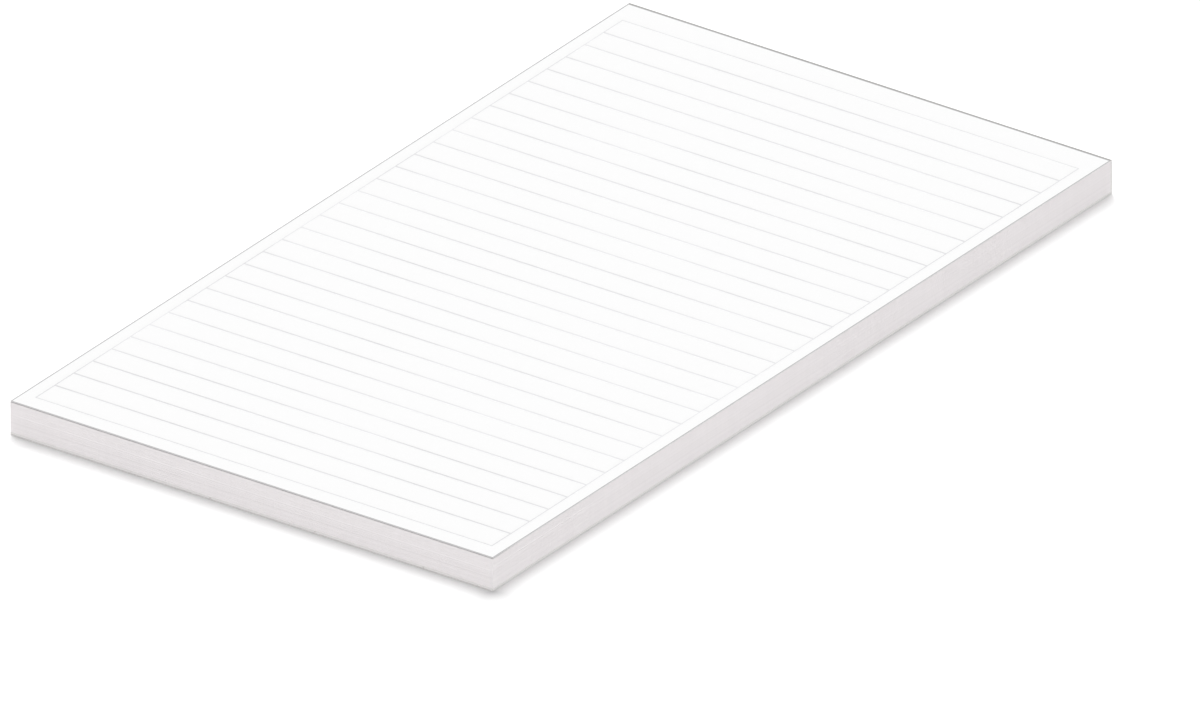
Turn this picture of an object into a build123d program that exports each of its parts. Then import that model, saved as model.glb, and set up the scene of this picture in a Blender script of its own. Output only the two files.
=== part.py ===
from build123d import *

import os
from math import floor

# A ruled notepad: cut sheets glued along one short edge, on a board back. Millimetres.
# It lies on its board with +Z up, +Y towards the glued head and +X to the writer's right.
# The origin is the middle of the whole outline, on the surface that the pad lies on.

# Sheets, five by nine inches, of ordinary writing paper
sheet_width = 127.0
sheet_length = 228.6
sheet_thickness = 0.1
sheet_count = 75

# Board back, cut in one stroke with the sheets
board_thickness = 0.5

# Glue brushed over the head: a film that swells from its top and bottom edges to its middle
glue_edge_thickness = 0.4
glue_swell = 0.1

# Ruling printed on the top sheet, with margins from the sheet's edge to the middle of a line
ruling_pitch = 7.0
ruling_line_width = 0.5
border_line_width = 0.28
side_margin = 3.5
head_margin = 7.1
least_foot_margin = 4.0
ink_thickness = 0.02

# Heights
stack_height = sheet_count * sheet_thickness
pad_height = board_thickness + stack_height

# Places along the pad, with sheets and glue together centred on the origin
glue_thickness = glue_edge_thickness + glue_swell
sheet_centre = -glue_thickness / 2
sheet_head = sheet_centre + sheet_length / 2

# As many whole ruled spaces as the margins leave room for
space_count = floor((sheet_length - head_margin - least_foot_margin) / ruling_pitch)
border_width = sheet_width - 2 * side_margin
border_length = space_count * ruling_pitch
border_centre = sheet_head - head_margin - border_length / 2

# All sheets as one block
with BuildPart() as page_block:
    with BuildSketch(Plane.XY.offset(board_thickness)):
        with Locations((0, sheet_centre)):
            Rectangle(sheet_width, sheet_length)
    extrude(amount=stack_height)
page_block.part.label = "page_block"

# Board back, flush with the sheets on every side
with BuildPart() as backing_board:
    with BuildSketch(Plane.XY):
        with Locations((0, sheet_centre)):
            Rectangle(sheet_width, sheet_length)
    extrude(amount=board_thickness)
backing_board.part.label = "backing_board"

# Glue film, drawn as its section on the pad's middle plane and carried to both sides
with BuildPart() as glue_film:
    with BuildSketch(Plane.YZ):
        with BuildLine():
            film_edge = sheet_head + glue_edge_thickness
            film_middle = sheet_head + glue_thickness
            Polyline((film_edge, 0), (sheet_head, 0), (sheet_head, pad_height), (film_edge, pad_height))
            ThreePointArc((film_edge, pad_height), (film_middle, pad_height / 2), (film_edge, 0))
        make_face()
    extrude(amount=sheet_width / 2, both=True)
glue_film.part.label = "glue_film"

# Border and rulings, one thin layer of ink on the top sheet
with BuildPart() as printed_ruling:
    with BuildSketch(Plane.XY.offset(pad_height)):
        with Locations((0, border_centre)):
            Rectangle(border_width + border_line_width, border_length + border_line_width)
            Rectangle(
                border_width - border_line_width,
                border_length - border_line_width,
                mode=Mode.SUBTRACT,
            )
            with GridLocations(0, ruling_pitch, 1, space_count - 1):
                Rectangle(border_width, ruling_line_width)
    extrude(amount=ink_thickness)
printed_ruling.part.label = "printed_ruling"

# One file for each piece
os.makedirs("parts", exist_ok=True)
for piece in (page_block, backing_board, glue_film, printed_ruling):
    export_step(piece.part, f"parts/{piece.part.label}.step")
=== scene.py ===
import math
from collections import namedtuple

import bpy
import numpy as np
from bpy.props import FloatProperty, FloatVectorProperty, PointerProperty
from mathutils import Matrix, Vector


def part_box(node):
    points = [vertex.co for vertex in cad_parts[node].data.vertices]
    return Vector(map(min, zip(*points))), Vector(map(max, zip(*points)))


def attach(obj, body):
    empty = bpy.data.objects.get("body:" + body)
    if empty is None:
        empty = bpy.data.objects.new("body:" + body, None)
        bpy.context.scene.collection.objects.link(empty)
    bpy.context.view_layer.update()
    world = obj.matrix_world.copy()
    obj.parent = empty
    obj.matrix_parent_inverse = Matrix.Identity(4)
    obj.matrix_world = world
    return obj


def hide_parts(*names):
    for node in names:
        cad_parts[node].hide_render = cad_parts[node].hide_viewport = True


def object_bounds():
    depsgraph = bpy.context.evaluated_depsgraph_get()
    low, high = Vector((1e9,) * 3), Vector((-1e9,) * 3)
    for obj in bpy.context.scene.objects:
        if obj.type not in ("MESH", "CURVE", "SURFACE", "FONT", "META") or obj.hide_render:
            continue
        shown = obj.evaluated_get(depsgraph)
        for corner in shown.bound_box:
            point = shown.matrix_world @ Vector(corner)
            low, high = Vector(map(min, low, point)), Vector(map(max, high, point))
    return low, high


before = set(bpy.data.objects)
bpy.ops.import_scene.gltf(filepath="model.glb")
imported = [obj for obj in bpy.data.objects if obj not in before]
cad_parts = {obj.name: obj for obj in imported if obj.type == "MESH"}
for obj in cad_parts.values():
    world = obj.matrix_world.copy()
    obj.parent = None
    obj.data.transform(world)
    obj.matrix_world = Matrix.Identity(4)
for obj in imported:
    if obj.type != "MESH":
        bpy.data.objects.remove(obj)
cad_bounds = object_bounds()

bl_info = {
    "name": "Ruled Notepad",
    "version": (1, 0, 0),
    "blender": (4, 5, 0),
    "location": "3D View > Sidebar > Notepad",
    "description": "Dresses the packed notepad with cut sheets, board, glue, ink and a pale studio",
    "category": "Object",
}

# One millimetre, in metres
MM = 0.001

# The one body that every piece rides on
BODY = "root"

# Boxes of the packed pieces, and the middle and half sizes of the sheets' outline
BLOCK_LOW, BLOCK_HIGH = (np.array(corner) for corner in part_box("page_block"))
BOARD_LOW, BOARD_HIGH = (np.array(corner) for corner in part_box("backing_board"))
GLUE_LOW, GLUE_HIGH = (np.array(corner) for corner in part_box("glue_film"))
SHEET_CENTRE = (BLOCK_HIGH + BLOCK_LOW)[:2] / 2
SHEET_HALF = (BLOCK_HIGH - BLOCK_LOW)[:2] / 2

# Where the groove under a sheet and the two lips of its cut edge lie, as shares of its thickness
LIPS = np.array([0.0, 0.16, 0.84])

# What is only rounding in such a share
ROUND_OFF = 0.001

# Where the grey rim of painted shade along the top sheet's edges starts and stops fading, as shares of its
# width
RIM_SHADE_FADE = (0.7, 1.3)

# Grids: lines across and along a sheet, and across and up the glue
SHEET_GRID = (15, 25)
GLUE_GRID = (160, 60)

# Lines through a thin layer, round the board's eased rim, and from there up its edge
LAYER_LINES = 3
EASE_LINES = 5
EDGE_LINES = 4

# Points of a skin that lie closer than this are one
WELD = 0.0001 * MM

# The bake map, and the clear space round each side on it
BAKE_MAP = "OFBake"
BAKE_MARGIN = 0.004

# The sides of each piece on its bake map, from the bottom up, and their shares of its height
STACK_SIDES = {"foot": 29, "right": 29, "left": 29, "head": 5, "bottom": 4, "top": 4}
SHEET_SIDES = {"foot": 3, "right": 3, "left": 3, "head": 3, "bottom": 6, "top": 82}
BOARD_SIDES = {"foot": 6, "right": 6, "left": 6, "head": 6, "bottom": 72, "top": 4}
GLUE_SIDES = {"foot": 4, "right": 8, "left": 8, "head": 62, "bottom": 4, "top": 14}

# Seeds of what is uneven
STACK_SEED = 75
STREAK_SEED = 8

# Waves in the brush streaks, and the deviations of their sum that lie between 0 and 1
WAVE_COUNT = 10
WAVE_RANGE = 3

# The middle of noise and of the sheets' tones, which run from 0 to 1
MIDDLE = 0.5

# Where a piece stores the tones of its sheets, and how far they differ
TONE_LAYER = "sheet_tone"
SHEET_TONE = 0.04

# Grain: its size, how far it changes tone and roughness, its detail and its stretch along the axes
Grain = namedtuple("Grain", "size tone dull detail stretch", defaults=(0.0, 2.0, (1.0, 1.0, 1.0)))
PAPER_CLOUD = Grain(2.5 * MM, tone=0.012, detail=3.0)
PAPER_FIBRE = Grain(0.14 * MM, tone=0.02, dull=0.15)
BLADE_MARKS = Grain(0.9 * MM, tone=0.04, dull=0.15, stretch=(1.0, 1.0, 30.0))
EDGE_PATCHES = Grain(14 * MM, tone=0.02)
BOARD_FELT = Grain(0.25 * MM, tone=0.12, dull=0.1, detail=3.0)
BOARD_CLOUD = Grain(5 * MM, tone=0.06, detail=3.0)
GLUE_STREAKS = Grain(0.35 * MM, tone=0.22, dull=0.3, detail=3.0, stretch=(90.0, 1.0, 1.0))
GLUE_CLOUD = Grain(4 * MM, tone=0.16, dull=0.2, detail=3.0, stretch=(2.0, 1.0, 1.0))
TRIMMED_GRAIN = Grain(0.2 * MM, tone=0.1, dull=0.2, detail=3.0)
INK_SINK = Grain(0.3 * MM, tone=0.06, dull=0.15, detail=3.0)
INK_PRESS = Grain(24 * MM, tone=0.36, detail=3.0)

# Finishes: roughness, depth of the relief and gloss
Finish = namedtuple("Finish", "roughness relief gloss", defaults=(0.0,))
PAPER_FINISH = Finish(0.9, 0.002 * MM)
EDGE_FINISH = Finish(0.9, 0.01 * MM)
BOARD_FINISH = Finish(0.92, 0.03 * MM)
GLUE_FINISH = Finish(0.6, 0.03 * MM, gloss=0.2)
TRIMMED_FINISH = Finish(0.7, 0.01 * MM)
INK_FINISH = Finish(0.85, 0.005 * MM)

# How high the clouds in the paper stand beside its fibres
CLOUD_HEIGHT = 0.5

# Flecks in the board: the space for each, the share of spaces that hold one, and their strength
FLECK_SPACE = 1.1 * MM
FLECK_SHARE = 0.18
FLECK_STRENGTH = 0.35

# Where a fleck starts and stops fading, and how far the felt frays it, as shares of its space
FLECK_FADE = (0.12, 0.3)
FLECK_FRAY = 0.5

# The heavier ink at the foot: how much darker it is, and where it starts and stops fading from the foot
FOOT_INK_TONE = 0.045
FOOT_INK_FADE = (20 * MM, 50 * MM)

# Sockets of a Mix node that blends colours, by number because its other kinds have the same names
MIX_FACTOR = 0
MIX_FIRST = 6
MIX_SECOND = 7
MIX_RESULT = 2

# The picture's frame, and where the middle of the top sheet lies in it, in pixels
PHOTO_WIDTH = 1200
PHOTO_HEIGHT = 711
TOP_CENTRE_PIXEL = (560.65, 280.85)

# How far the camera stands back, where its sight begins and how far the floor reaches, in metres
CAMERA_DISTANCE = 0.6
CAMERA_NEAR = 0.001
FLOOR_REACH = 5.0

# Lamps: turn from the pad's foot, height over the horizon and spread, in degrees
KEY_LAMP = (221, 63.5, 45)
FILL_LAMP = (45, 3, 5)
REAR_LAMP = (225, 3, 5)


# Settings that a user would change


class SheetSettings(bpy.types.PropertyGroup):
    """Sizes and colours of the cut sheets"""

    thickness: FloatProperty(
        name="Sheet thickness",
        description="Thickness of one sheet",
        default=0.1 * MM,
        unit="LENGTH",
    )
    groove_depth: FloatProperty(
        name="Groove depth",
        description="Depth of the groove between two cut edges",
        default=0.05 * MM,
        unit="LENGTH",
    )
    stagger: FloatProperty(
        name="Stagger",
        description="How far sheets stand in or out at the foot",
        default=0.02 * MM,
        unit="LENGTH",
    )
    foot_gap: FloatProperty(
        name="Foot gap",
        description="Gap under the top sheet at the foot",
        default=0.15 * MM,
        unit="LENGTH",
    )
    side_gap: FloatProperty(
        name="Side gap",
        description="Gap under the top sheet along the sides",
        default=0.03 * MM,
        unit="LENGTH",
    )
    gap_reach: FloatProperty(
        name="Gap reach",
        description="Distance over which the foot gap closes",
        default=7 * MM,
        unit="LENGTH",
    )
    # The rim is painted shade: a grey line along the top sheet's edges
    rim_shade_width: FloatProperty(
        name="Rim width",
        description="Width of the greyed rim of the top sheet",
        default=0.3 * MM,
        unit="LENGTH",
    )
    paper_colour: FloatVectorProperty(
        name="Paper",
        description="Colour of the writing paper",
        default=(0.94, 0.94, 0.94),
        subtype="COLOR",
    )
    edge_colour: FloatVectorProperty(
        name="Cut edges",
        description="Colour of the cut edges",
        default=(0.856, 0.827, 0.834),
        subtype="COLOR",
    )
    # Colour of the painted rim shade along the top sheet's edges
    rim_shade_colour: FloatVectorProperty(
        name="Rim",
        description="Colour of the top sheet's greyed rim",
        default=(0.49, 0.49, 0.49),
        subtype="COLOR",
    )


class BoardSettings(bpy.types.PropertyGroup):
    """Sizes and colours of the board back"""

    ease: FloatProperty(
        name="Edge ease",
        description="How far the board's lower rim is rounded",
        default=0.1 * MM,
        unit="LENGTH",
    )
    colour: FloatVectorProperty(
        name="Board",
        description="Colour of the board",
        default=(0.72, 0.706, 0.693),
        subtype="COLOR",
    )
    fleck_colour: FloatVectorProperty(
        name="Flecks",
        description="Colour of the recycled flecks",
        default=(0.30, 0.28, 0.26),
        subtype="COLOR",
    )


class GlueSettings(bpy.types.PropertyGroup):
    """Sizes and colours of the glue along the head"""

    swell: FloatProperty(
        name="Swell",
        description="How far the film swells at its middle height",
        default=0.1 * MM,
        unit="LENGTH",
    )
    streak_depth: FloatProperty(
        name="Streak depth",
        description="Depth of the brush streaks",
        default=0.05 * MM,
        unit="LENGTH",
    )
    streak_length: FloatProperty(
        name="Streak length",
        description="Usual length of a brush streak",
        default=60 * MM,
        unit="LENGTH",
    )
    streak_width: FloatProperty(
        name="Streak width",
        description="Usual width of a brush streak",
        default=0.9 * MM,
        unit="LENGTH",
    )
    colour: FloatVectorProperty(
        name="Glue",
        description="Colour of the dried glue",
        default=(0.315, 0.31, 0.30),
        subtype="COLOR",
    )
    trimmed_colour: FloatVectorProperty(
        name="Trimmed ends",
        description="Colour of the glue where the blade cut it",
        default=(0.684, 0.675, 0.666),
        subtype="COLOR",
    )


class InkSettings(bpy.types.PropertyGroup):
    """Colour of the printed ruling"""

    colour: FloatVectorProperty(
        name="Ink",
        description="Colour of the printed lines",
        default=(0.79, 0.79, 0.80),
        subtype="COLOR",
    )


class StageSettings(bpy.types.PropertyGroup):
    """Camera, light and floor"""

    azimuth: FloatProperty(
        name="Azimuth",
        description="Camera's turn round the pad from its foot",
        default=math.radians(35.43),
        subtype="ANGLE",
    )
    elevation: FloatProperty(
        name="Elevation",
        description="Camera's height over the horizon",
        default=math.radians(27.22),
        subtype="ANGLE",
    )
    view_width: FloatProperty(
        name="View width",
        description="Width of the parallel view",
        default=257.33 * MM,
        unit="LENGTH",
    )
    sky: FloatProperty(
        name="Sky",
        description="Share of full light that the sky gives a level face",
        default=0.13,
        subtype="FACTOR",
    )
    key: FloatProperty(
        name="Key",
        description="Share of full light that the key lamp gives a level face",
        default=0.83,
        subtype="FACTOR",
    )
    fill: FloatProperty(
        name="Fill",
        description="Share of full light that the fill lamp gives a level face",
        default=0.057,
        subtype="FACTOR",
    )
    rear: FloatProperty(
        name="Rear",
        description="Share of full light that the rear lamp gives a level face",
        default=0.031,
        subtype="FACTOR",
    )
    bounce: FloatProperty(
        name="Floor bounce",
        description="Share of light that the floor returns to the pad",
        default=0.35,
        subtype="FACTOR",
    )
    white: FloatProperty(
        name="Floor white",
        description="Share of light that the floor shows the camera",
        default=1.09,
        subtype="FACTOR",
    )


SETTINGS = {
    "notepad_sheets": SheetSettings,
    "notepad_board": BoardSettings,
    "notepad_glue": GlueSettings,
    "notepad_ink": InkSettings,
    "notepad_stage": StageSettings,
}


# Shader arithmetic


class Wire:
    """A socket in a shader tree. Arithmetic on it adds Math nodes, and node() adds any other node."""

    def __init__(self, tree, socket=None):
        self.tree = tree
        self.socket = socket

    def node(self, kind, settings=None, inputs=None, output=0):
        """Adds a node with these settings and these values or links, and wraps one of its outputs."""
        made = self.tree.nodes.new("ShaderNode" + kind)
        for name, value in (settings or {}).items():
            setattr(made, name, value)
        for name, value in (inputs or {}).items():
            if isinstance(value, Wire):
                self.tree.links.new(value.socket, made.inputs[name])
            else:
                made.inputs[name].default_value = value
        return Wire(self.tree, made.outputs[output] if made.outputs else None)

    def beside(self, output):
        """Another output of the node that this socket belongs to."""
        return Wire(self.tree, self.socket.node.outputs[output])

    def maths(self, operation, first, second=0.0):
        """The result of a Math node on one or two values."""
        return self.node("Math", {"operation": operation}, {0: first, 1: second})

    def __add__(self, other):
        return self.maths("ADD", self, other)

    def __sub__(self, other):
        return self.maths("SUBTRACT", self, other)

    def __rsub__(self, other):
        return self.maths("SUBTRACT", other, self)

    def __mul__(self, other):
        return self.maths("MULTIPLY", self, other)

    def __lt__(self, other):
        return self.maths("LESS_THAN", self, other)

    def __abs__(self):
        return self.maths("ABSOLUTE", self)

    __radd__ = __add__
    __rmul__ = __mul__

    def least(self, other):
        """The smaller of two values."""
        return self.maths("MINIMUM", self, other)

    def most(self, other):
        """The larger of two values."""
        return self.maths("MAXIMUM", self, other)

    def fade(self, start, end):
        """A smooth step from 0 at start to 1 at end."""
        ranges = {"Value": self, "From Min": start, "From Max": end}
        return self.node("MapRange", {"interpolation_type": "SMOOTHSTEP"}, ranges)

    def blend(self, first, second):
        """The first colour where this value is 0, and the second where it is 1."""
        inputs = {MIX_FACTOR: self, MIX_FIRST: first, MIX_SECOND: second}
        return self.node("Mix", {"data_type": "RGBA"}, inputs, MIX_RESULT)

    def shade(self, colour):
        """A colour made lighter or darker by this value."""
        return self.node("VectorMath", {"operation": "SCALE"}, {0: colour, "Scale": self})

    def noise(self, grain):
        """Noise about 0 with features of the grain's size, drawn out along the axes by its stretch."""
        scale = tuple(1.0 / (grain.size * share) for share in grain.stretch)
        at = self.node("Mapping", inputs={"Vector": self, "Scale": scale})
        return at.node("TexNoise", inputs={"Vector": at, "Scale": 1.0, "Detail": grain.detail}) - MIDDLE


def grey(level):
    """A grey of this level, as a colour socket takes it."""
    return (level, level, level, 1.0)


def opaque(colour):
    """A colour setting as a colour socket takes it."""
    return (*colour, 1.0)


def empty_tree(owner):
    """A wire into the cleared shader tree of a material or a world."""
    owner.use_nodes = True
    owner.node_tree.nodes.clear()
    return Wire(owner.node_tree)


def lay_finish(at, finish, base, dull, height):
    """Gives a material its surface, from a finish, a colour, a change of roughness and a height."""
    inputs = {
        "Base Color": base,
        "Roughness": finish.roughness + dull,
        "Normal": at.node("Bump", inputs={"Height": height, "Distance": finish.relief}),
        "Specular IOR Level": finish.gloss,
    }
    surface = at.node("BsdfPrincipled", inputs=inputs)
    at.node("OutputMaterial", inputs={"Surface": surface})


def material_of(fill, settings):
    """The material that is named after a function, filled in by it once and shared by like pieces.

    The function takes the settings and a wire to the object coordinates.
    """
    material = bpy.data.materials.get(fill.__name__)
    if material is None:
        material = bpy.data.materials.new(fill.__name__)
        fill(settings, empty_tree(material).node("TexCoord", output="Object"))
    return material


# Materials


def writing_paper(sheets, at):
    """White uncoated paper: cloudy formation, fine fibres, and a grey rim of painted shade along the sheet's
    edges.

    The rim lies where the distance to the nearest edge of the sheet is under its width.
    """
    cloud = at.noise(PAPER_CLOUD)
    fibre = at.noise(PAPER_FIBRE)
    x = at.node("SeparateXYZ", inputs={"Vector": at}, output="X")
    y = x.beside("Y")
    inward = (SHEET_HALF[0] - abs(x - SHEET_CENTRE[0])).least(SHEET_HALF[1] - abs(y - SHEET_CENTRE[1]))
    # Painted shade: the paper turns grey within the rim's width of each edge
    rim = 1 - inward.fade(*(share * sheets.rim_shade_width for share in RIM_SHADE_FADE))
    tone = 1 + PAPER_CLOUD.tone * cloud + PAPER_FIBRE.tone * fibre
    base = rim.blend(tone.shade(sheets.paper_colour), opaque(sheets.rim_shade_colour))
    height = fibre + CLOUD_HEIGHT * cloud
    lay_finish(at, PAPER_FINISH, base, PAPER_FIBRE.dull * fibre, height)


def cut_edges(sheets, at):
    """Edges of cut sheets: each sheet a little lighter or darker, with upright marks of the blade."""
    sheet = at.node("Attribute", {"attribute_name": TONE_LAYER}, output="Fac") - MIDDLE
    blade = at.noise(BLADE_MARKS)
    patch = at.noise(EDGE_PATCHES)
    tone = 1 + SHEET_TONE * sheet + BLADE_MARKS.tone * blade + EDGE_PATCHES.tone * patch
    base = tone.shade(sheets.edge_colour)
    lay_finish(at, EDGE_FINISH, base, BLADE_MARKS.dull * blade, blade)


def grey_board(board, at):
    """Pale grey board of recycled fibre, with scattered dark flecks and a felted surface.

    Space is cut into cells, a share of them is drawn by lot, and those hold a fleck round their middle.
    """
    felt = at.noise(BOARD_FELT)
    cloud = at.noise(BOARD_CLOUD)
    apart = at.node("TexVoronoi", inputs={"Vector": at, "Scale": 1 / FLECK_SPACE}, output="Distance")
    lot = at.node("SeparateColor", inputs={"Color": apart.beside("Color")})
    fleck = (1 - (apart + FLECK_FRAY * felt).fade(*FLECK_FADE)) * (lot < FLECK_SHARE)
    tone = 1 + BOARD_FELT.tone * felt + BOARD_CLOUD.tone * cloud
    base = (FLECK_STRENGTH * fleck).blend(tone.shade(board.colour), opaque(board.fleck_colour))
    lay_finish(at, BOARD_FINISH, base, BOARD_FELT.dull * felt, felt)


def dried_glue(glue, at):
    """Glue brushed along the head and dried: long streaks, cloudy patches and a half gloss."""
    streak = at.noise(GLUE_STREAKS)
    cloud = at.noise(GLUE_CLOUD)
    tone = 1 + GLUE_STREAKS.tone * streak + GLUE_CLOUD.tone * cloud
    dull = GLUE_STREAKS.dull * streak + GLUE_CLOUD.dull * cloud
    lay_finish(at, GLUE_FINISH, tone.shade(glue.colour), dull, streak)


def trimmed_glue(glue, at):
    """The clean, paler inside of the glue, where the film was trimmed with the sheets."""
    grain = at.noise(TRIMMED_GRAIN)
    base = (1 + TRIMMED_GRAIN.tone * grain).shade(glue.trimmed_colour)
    lay_finish(at, TRIMMED_FINISH, base, TRIMMED_GRAIN.dull * grain, grain)


def ruling_ink(ink, at):
    """Pale printing ink that sinks unevenly into the paper and lies heavier towards the foot."""
    sink = at.noise(INK_SINK)
    press = at.noise(INK_PRESS)
    y = at.node("SeparateXYZ", inputs={"Vector": at}, output="Y")
    heavy = 1 - (y - BLOCK_LOW[1]).fade(*FOOT_INK_FADE)
    tone = 1 + INK_SINK.tone * sink + INK_PRESS.tone * press - FOOT_INK_TONE * heavy
    lay_finish(at, INK_FINISH, tone.shade(ink.colour), INK_SINK.dull * sink, sink)


# Surfaces


def bake_boxes(shares):
    """A box on the bake map for each side of a piece, one over the other: left, low, right and high.

    Each takes its share of the map's height, less a margin all round.
    """
    lines = np.cumsum([0, *shares.values()]) / sum(shares.values())
    return {
        side: (BAKE_MARGIN, low + BAKE_MARGIN, 1 - BAKE_MARGIN, high - BAKE_MARGIN)
        for side, low, high in zip(shares, lines, lines[1:])
    }


def skin(place, across, along, levels, shares):
    """The closed skin of a solid, as six grids that share their rims.

    place takes three arrays, from across, along and levels, to points in space. Each side of the solid
    holds one of the three at its first or last value and runs over the other two, so that its faces point
    outwards, and fills its share of the bake map. Returns welded points, quads, the quads' corners on the
    bake map and the number of quads in each side.
    """
    sides = {
        "foot": (across, levels, lambda a, b: (a, along[0], b)),
        "right": (along, levels, lambda a, b: (across[-1], a, b)),
        "head": (across[::-1], levels, lambda a, b: (a, along[-1], b)),
        "left": (along[::-1], levels, lambda a, b: (across[0], a, b)),
        "bottom": (along, across, lambda a, b: (b, a, levels[0])),
        "top": (along, across[::-1], lambda a, b: (b, a, levels[-1])),
    }
    boxes = bake_boxes(shares)
    points, quads, corners, counts = [], [], [], {}
    start = 0
    for name, (columns, rows, order) in sides.items():
        a, b = np.meshgrid(columns, rows)
        points.append(place(*np.broadcast_arrays(*order(a, b))).reshape(-1, 3))
        index = np.arange(a.size).reshape(a.shape)
        ring = [index[:-1, :-1], index[:-1, 1:], index[1:, 1:], index[1:, :-1]]
        faces = np.stack(ring, -1).reshape(-1, 4)
        quads.append(start + faces)
        left, low, right, high = boxes[name]
        u, v = np.meshgrid(np.linspace(left, right, len(columns)), np.linspace(low, high, len(rows)))
        corners.append(np.stack([u, v], -1).reshape(-1, 2)[faces])
        counts[name] = len(faces)
        start += a.size
    points = np.concatenate(points)
    places = np.round(points / WELD).astype(np.int64)
    first, merged = np.unique(places, axis=0, return_index=True, return_inverse=True)[1:]
    return points[first], merged.reshape(-1)[np.concatenate(quads)], np.concatenate(corners), counts


def add_piece(name, surface, materials, slots):
    """Makes a mesh piece from a skin, with a material for each side by its number in slots."""
    points, quads, corners, counts = surface
    mesh = bpy.data.meshes.new(name)
    mesh.from_pydata(points, [], quads)
    mesh.uv_layers.new(name=BAKE_MAP).uv.foreach_set("vector", corners.astype(np.float32).ravel())
    for material in materials:
        mesh.materials.append(material)
    worn = np.repeat([slots.get(side, 0) for side in counts], list(counts.values()))
    mesh.polygons.foreach_set("material_index", worn.astype(np.int32))
    mesh.polygons.foreach_set("use_smooth", np.zeros(len(quads), bool))
    mesh.update()
    piece = bpy.data.objects.new(name, mesh)
    bpy.context.scene.collection.objects.link(piece)
    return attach(piece, BODY)


def add_tones(piece, tones):
    """Stores how light or dark the sheet at each point is, from 0 to 1."""
    layer = piece.data.attributes.new(TONE_LAYER, "FLOAT", "POINT")
    layer.data.foreach_set("value", tones.astype(np.float32))


def wave_field(seed, lengths):
    """A function of two coordinates that is smooth and uneven, from 0 to 1.

    It is a sum of sine waves of random phase, cut off at 0 and 1. Each is the sine of both coordinates over
    two random lengths, from half to twice those given.
    """
    rng = np.random.default_rng(seed)
    turn = 2 * math.pi / (np.array(lengths)[:, None] * 2.0 ** rng.uniform(-1, 1, (2, WAVE_COUNT)))
    turn *= rng.choice([-1, 1], (2, WAVE_COUNT))
    phase = rng.uniform(0, 2 * math.pi, WAVE_COUNT)
    deviation = math.sqrt(WAVE_COUNT / 2)

    def field(first, second):
        angle = first[..., None] * turn[0] + second[..., None] * turn[1] + phase
        return np.clip(MIDDLE + np.sin(angle).sum(-1) / (WAVE_RANGE * deviation), 0, 1)

    return field


def outline(u, v, inset=0.0):
    """The sheets' outline, drawn in by an inset: its middle, plus u and v times its half sizes."""
    x = SHEET_CENTRE[0] + u * (SHEET_HALF[0] - inset)
    y = SHEET_CENTRE[1] + v * (SHEET_HALF[1] - inset)
    return np.stack([x, y])


def sheet_gap(sheets, y):
    """The gap under the top sheet: none at the glued head, small along the pad, and more at the foot.

    It is the side gap times a rise from the head, plus the rest of the foot gap, which dies away from the
    foot. Both change as the exponential of the distance over the gap's reach.
    """
    from_head = (BLOCK_HIGH[1] - y) / sheets.gap_reach
    from_foot = (y - BLOCK_LOW[1]) / sheets.gap_reach
    at_sides = sheets.side_gap * (1 - np.exp(-from_head))
    return at_sides + (sheets.foot_gap - sheets.side_gap) * np.exp(-from_foot)


def even_lines():
    """Even lines from -1 to 1 across a sheet and along it."""
    return [np.linspace(-1, 1, count) for count in SHEET_GRID]


def rimmed_lines(rim):
    """Lines at -1 and 1 across a sheet and along it, and even lines between that keep this rim free."""
    inside = 1 - rim / SHEET_HALF
    return [
        np.concatenate([[-1], np.linspace(-end, end, count), [1]])
        for end, count in zip(inside, SHEET_GRID)
    ]


# Operators


class NOTEPAD_OT_sheet_stack(bpy.types.Operator):
    """Lay the stack of cut sheets under the top one"""

    bl_idname = "notepad.sheet_stack"
    bl_label = "Sheet Stack"

    def execute(self, context):
        sheets = context.scene.notepad_sheets
        rng = np.random.default_rng(STACK_SEED)
        height = BLOCK_HIGH[2] - BLOCK_LOW[2] - sheets.thickness
        count = round(height / sheets.thickness)
        if count < 1:
            raise ValueError("the block has no room for a sheet under the top one")
        shift = rng.normal(0, sheets.stagger, (2, count + 1))
        levels = np.append((np.arange(count)[:, None] + LIPS).ravel(), count)

        def place(u, v, level):
            """A sheet's outline at each level, drawn in at the grooves, with a shift that grows to the foot.

            The shift stops at the block's box. The levels rise evenly from the board to the gap under the
            top sheet.
            """
            sheet = np.floor(level + ROUND_OFF).astype(int)
            groove = np.where(np.abs(level - np.round(level)) < ROUND_OFF, sheets.groove_depth, 0)
            free = (1 - v) / 2
            x, y = outline(u, v, groove) + free * shift[:, sheet]
            x = np.clip(x, BLOCK_LOW[0], BLOCK_HIGH[0])
            y = np.clip(y, BLOCK_LOW[1], BLOCK_HIGH[1])
            z = BLOCK_LOW[2] + level / count * (height - sheet_gap(sheets, y))
            return np.stack([x, y, z], -1)

        surface = skin(place, *even_lines(), levels, STACK_SIDES)
        materials = [material_of(cut_edges, sheets), material_of(writing_paper, sheets)]
        stack = add_piece("sheet_stack", surface, materials, {"top": 1})
        y, z = surface[0][:, 1:].T
        level = (z - BLOCK_LOW[2]) / (height - sheet_gap(sheets, y)) * count
        sheet = np.floor(level + ROUND_OFF).astype(int)
        add_tones(stack, rng.uniform(0, 1, count + 1)[np.clip(sheet, 0, count)])
        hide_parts("page_block")
        return {"FINISHED"}


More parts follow.
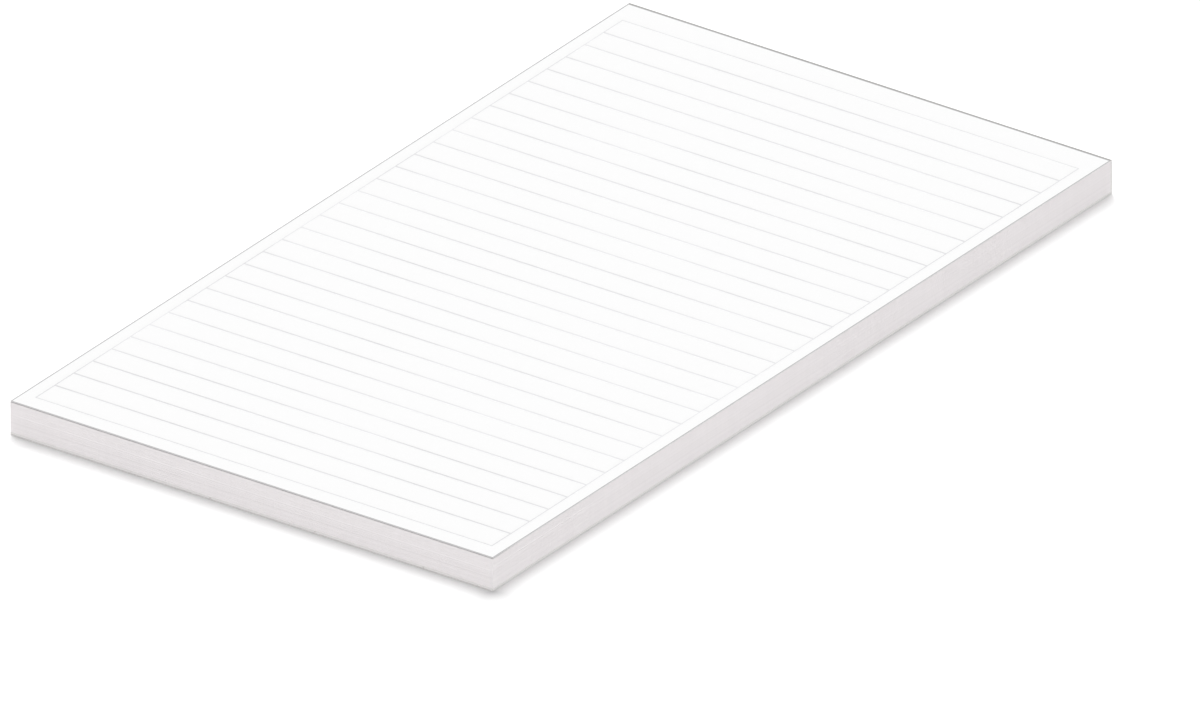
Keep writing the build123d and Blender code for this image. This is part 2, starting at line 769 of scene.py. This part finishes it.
class NOTEPAD_OT_top_sheet(bpy.types.Operator):
    """Lay the top sheet, which carries the print"""

    bl_idname = "notepad.top_sheet"
    bl_label = "Top Sheet"

    def execute(self, context):
        sheets = context.scene.notepad_sheets

        def place(u, v, level):
            """A flat sheet, cut square: its outline, from its thickness below the print up to the print."""
            z = BLOCK_HIGH[2] - (1 - level) * sheets.thickness
            return np.stack([*outline(u, v), z], -1)

        # Grid lines keep the band of painted rim shade free
        rim = max(RIM_SHADE_FADE) * sheets.rim_shade_width
        surface = skin(place, *rimmed_lines(rim), np.linspace(0, 1, LAYER_LINES), SHEET_SIDES)
        materials = [material_of(writing_paper, sheets), material_of(cut_edges, sheets)]
        edges = dict.fromkeys(("foot", "right", "head", "left"), 1)
        sheet = add_piece("top_sheet", surface, materials, edges)
        add_tones(sheet, np.full(len(surface[0]), MIDDLE))
        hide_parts("page_block")
        return {"FINISHED"}


class NOTEPAD_OT_board_back(bpy.types.Operator):
    """Lay the board back, with its lower rim eased by the cut"""

    bl_idname = "notepad.board_back"
    bl_label = "Board Back"

    def execute(self, context):
        board = context.scene.notepad_board
        thickness = BOARD_HIGH[2] - BOARD_LOW[2]

        def place(u, v, level):
            """The sheets' outline, drawn in along a quarter circle at the lower rim."""
            z = level * thickness
            rise = np.clip(z / board.ease, 0, 1)
            inset = board.ease * (1 - np.sqrt(1 - (1 - rise) ** 2))
            return np.stack([*outline(u, v, inset), BOARD_LOW[2] + z], -1)

        share = board.ease / thickness
        levels = np.concatenate([np.linspace(0, share, EASE_LINES), np.linspace(share, 1, EDGE_LINES)[1:]])
        surface = skin(place, *even_lines(), levels, BOARD_SIDES)
        piece = add_piece("board_back", surface, [material_of(grey_board, board)], {})
        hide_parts("backing_board")
        return {"FINISHED"}


class NOTEPAD_OT_glue_strip(bpy.types.Operator):
    """Brush the glue over the head of the pad"""

    bl_idname = "notepad.glue_strip"
    bl_label = "Glue Strip"

    def execute(self, context):
        glue = context.scene.notepad_glue
        streaks = wave_field(STREAK_SEED, (glue.streak_length, glue.streak_width))
        width, thickness, height = GLUE_HIGH - GLUE_LOW

        def place(u, v, level):
            """A film that swells along a parabola to its middle height, less the brush streaks outside."""
            x = GLUE_LOW[0] + u * width
            z = GLUE_LOW[2] + level * height
            out = thickness - glue.swell * (2 * level - 1) ** 2 - glue.streak_depth * streaks(x, z)
            return np.stack([x, GLUE_LOW[1] + v * out, z], -1)

        across, up = (np.linspace(0, 1, count) for count in GLUE_GRID)
        surface = skin(place, across, np.linspace(0, 1, LAYER_LINES), up, GLUE_SIDES)
        materials = [material_of(dried_glue, glue), material_of(trimmed_glue, glue)]
        piece = add_piece("glue_strip", surface, materials, {"right": 1, "left": 1})
        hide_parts("glue_film")
        return {"FINISHED"}


class NOTEPAD_OT_printed_ruling(bpy.types.Operator):
    """Ink the printed border and rulings"""

    bl_idname = "notepad.printed_ruling"
    bl_label = "Printed Ruling"

    def execute(self, context):
        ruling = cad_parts["printed_ruling"]
        ruling.material_slots[0].link = "OBJECT"
        ruling.material_slots[0].material = material_of(ruling_ink, context.scene.notepad_ink)
        return {"FINISHED"}


# Stage


def from_angles(azimuth, elevation):
    """The direction from the pad to what lies at this turn from its foot and height over the horizon."""
    flat = math.cos(elevation)
    return Vector((math.sin(azimuth) * flat, -math.cos(azimuth) * flat, math.sin(elevation)))


def add_lamp(name, angles, share, mirrored=True):
    """A soft distant lamp that gives a level face this share of full light, and may show in a gloss."""
    azimuth, elevation, spread = np.radians(angles)
    lamp = bpy.data.lights.new(name, "SUN")
    lamp.angle = spread
    lamp.energy = share * math.pi / math.sin(elevation)
    holder = bpy.data.objects.new(name, lamp)
    holder.rotation_euler = from_angles(azimuth, elevation).to_track_quat("Z", "Y").to_euler()
    holder.visible_glossy = mirrored
    bpy.context.scene.collection.objects.link(holder)


def in_sight(tree):
    """1 on rays that show a thing to the camera, straight, in a gloss or through glass, and 0 on others."""
    straight = tree.node("LightPath", output="Is Camera Ray")
    return straight.most(straight.beside("Is Glossy Ray")).most(straight.beside("Is Transmission Ray"))


def pale_floor(stage):
    """A white floor where it is seen, which returns a smaller share of light to the pad."""
    material = bpy.data.materials.new("pale_floor")
    tree = empty_tree(material)
    base = in_sight(tree).blend(grey(stage.bounce), grey(stage.white))
    surface = tree.node("BsdfDiffuse", inputs={"Color": base})
    tree.node("OutputMaterial", inputs={"Surface": surface})
    return material


def studio_sky(stage):
    """An even sky that lights by its own share and looks white where it is seen."""
    world = bpy.data.worlds.new("studio_sky")
    tree = empty_tree(world)
    strength = stage.sky + (1 - stage.sky) * in_sight(tree)
    surface = tree.node("Background", inputs={"Color": grey(1.0), "Strength": strength})
    tree.node("OutputWorld", inputs={"Surface": surface})
    return world


class NOTEPAD_OT_stage(bpy.types.Operator):
    """Set the floor, the light and the camera"""

    bl_idname = "notepad.stage"
    bl_label = "Stage"

    def execute(self, context):
        scene = context.scene
        stage = scene.notepad_stage
        scene.view_settings.view_transform = "Standard"

        side = np.array([-FLOOR_REACH, FLOOR_REACH])
        x, y = np.meshgrid(side, side)
        corners = np.stack([x, y, np.full_like(x, cad_bounds[0].z)], -1).reshape(-1, 3)
        mesh = bpy.data.meshes.new("floor")
        mesh.from_pydata(corners, [], [(0, 1, 3, 2)])
        mesh.materials.append(pale_floor(stage))
        floor = bpy.data.objects.new("floor", mesh)
        scene.collection.objects.link(floor)

        scene.world = studio_sky(stage)
        add_lamp("key_lamp", KEY_LAMP, stage.key)
        add_lamp("fill_lamp", FILL_LAMP, stage.fill, mirrored=False)
        add_lamp("rear_lamp", REAR_LAMP, stage.rear, mirrored=False)

        camera = bpy.data.cameras.new("camera")
        camera.type = "ORTHO"
        camera.ortho_scale = stage.view_width
        camera.clip_start = CAMERA_NEAR
        back = from_angles(stage.azimuth, stage.elevation)
        right = Vector((math.cos(stage.azimuth), math.sin(stage.azimuth), 0))
        up = back.cross(right)
        pixel = stage.view_width / PHOTO_WIDTH
        aside = (PHOTO_WIDTH / 2 - TOP_CENTRE_PIXEL[0]) * pixel
        above = (TOP_CENTRE_PIXEL[1] - PHOTO_HEIGHT / 2) * pixel
        target = Vector((*SHEET_CENTRE, BLOCK_HIGH[2])) + aside * right + above * up
        holder = bpy.data.objects.new("camera", camera)
        holder.location = target + back * CAMERA_DISTANCE
        holder.rotation_euler = back.to_track_quat("Z", "Y").to_euler()
        scene.collection.objects.link(holder)
        scene.camera = holder
        return {"FINISHED"}


# The add-on


OPERATORS = (
    NOTEPAD_OT_sheet_stack,
    NOTEPAD_OT_top_sheet,
    NOTEPAD_OT_board_back,
    NOTEPAD_OT_glue_strip,
    NOTEPAD_OT_printed_ruling,
    NOTEPAD_OT_stage,
)


class NOTEPAD_PT_sidebar(bpy.types.Panel):
    """The notepad's settings and pieces"""

    bl_label = "Notepad"
    bl_idname = "NOTEPAD_PT_sidebar"
    bl_space_type = "VIEW_3D"
    bl_region_type = "UI"
    bl_category = "Notepad"

    def draw(self, context):
        for name, group in SETTINGS.items():
            box = self.layout.box()
            box.label(text=group.__doc__)
            for setting in group.__annotations__:
                box.prop(getattr(context.scene, name), setting)
        for operator in OPERATORS:
            self.layout.operator(operator.bl_idname)


def register():
    """Registers the settings, the operators and the panel."""
    for name, group in SETTINGS.items():
        bpy.utils.register_class(group)
        setattr(bpy.types.Scene, name, PointerProperty(type=group))
    for shown in (*OPERATORS, NOTEPAD_PT_sidebar):
        bpy.utils.register_class(shown)


def unregister():
    """Takes back what register did, in the opposite order."""
    for shown in reversed((*OPERATORS, NOTEPAD_PT_sidebar)):
        bpy.utils.unregister_class(shown)
    for name, group in reversed(SETTINGS.items()):
        delattr(bpy.types.Scene, name)
        bpy.utils.unregister_class(group)


def main():
    """Makes every piece in order and sets the floor, the light and the camera."""
    register()
    bpy.ops.notepad.sheet_stack()
    bpy.ops.notepad.top_sheet()
    bpy.ops.notepad.board_back()
    bpy.ops.notepad.glue_strip()
    bpy.ops.notepad.printed_ruling()
    bpy.ops.notepad.stage()


if __name__ == "__main__":
    main()
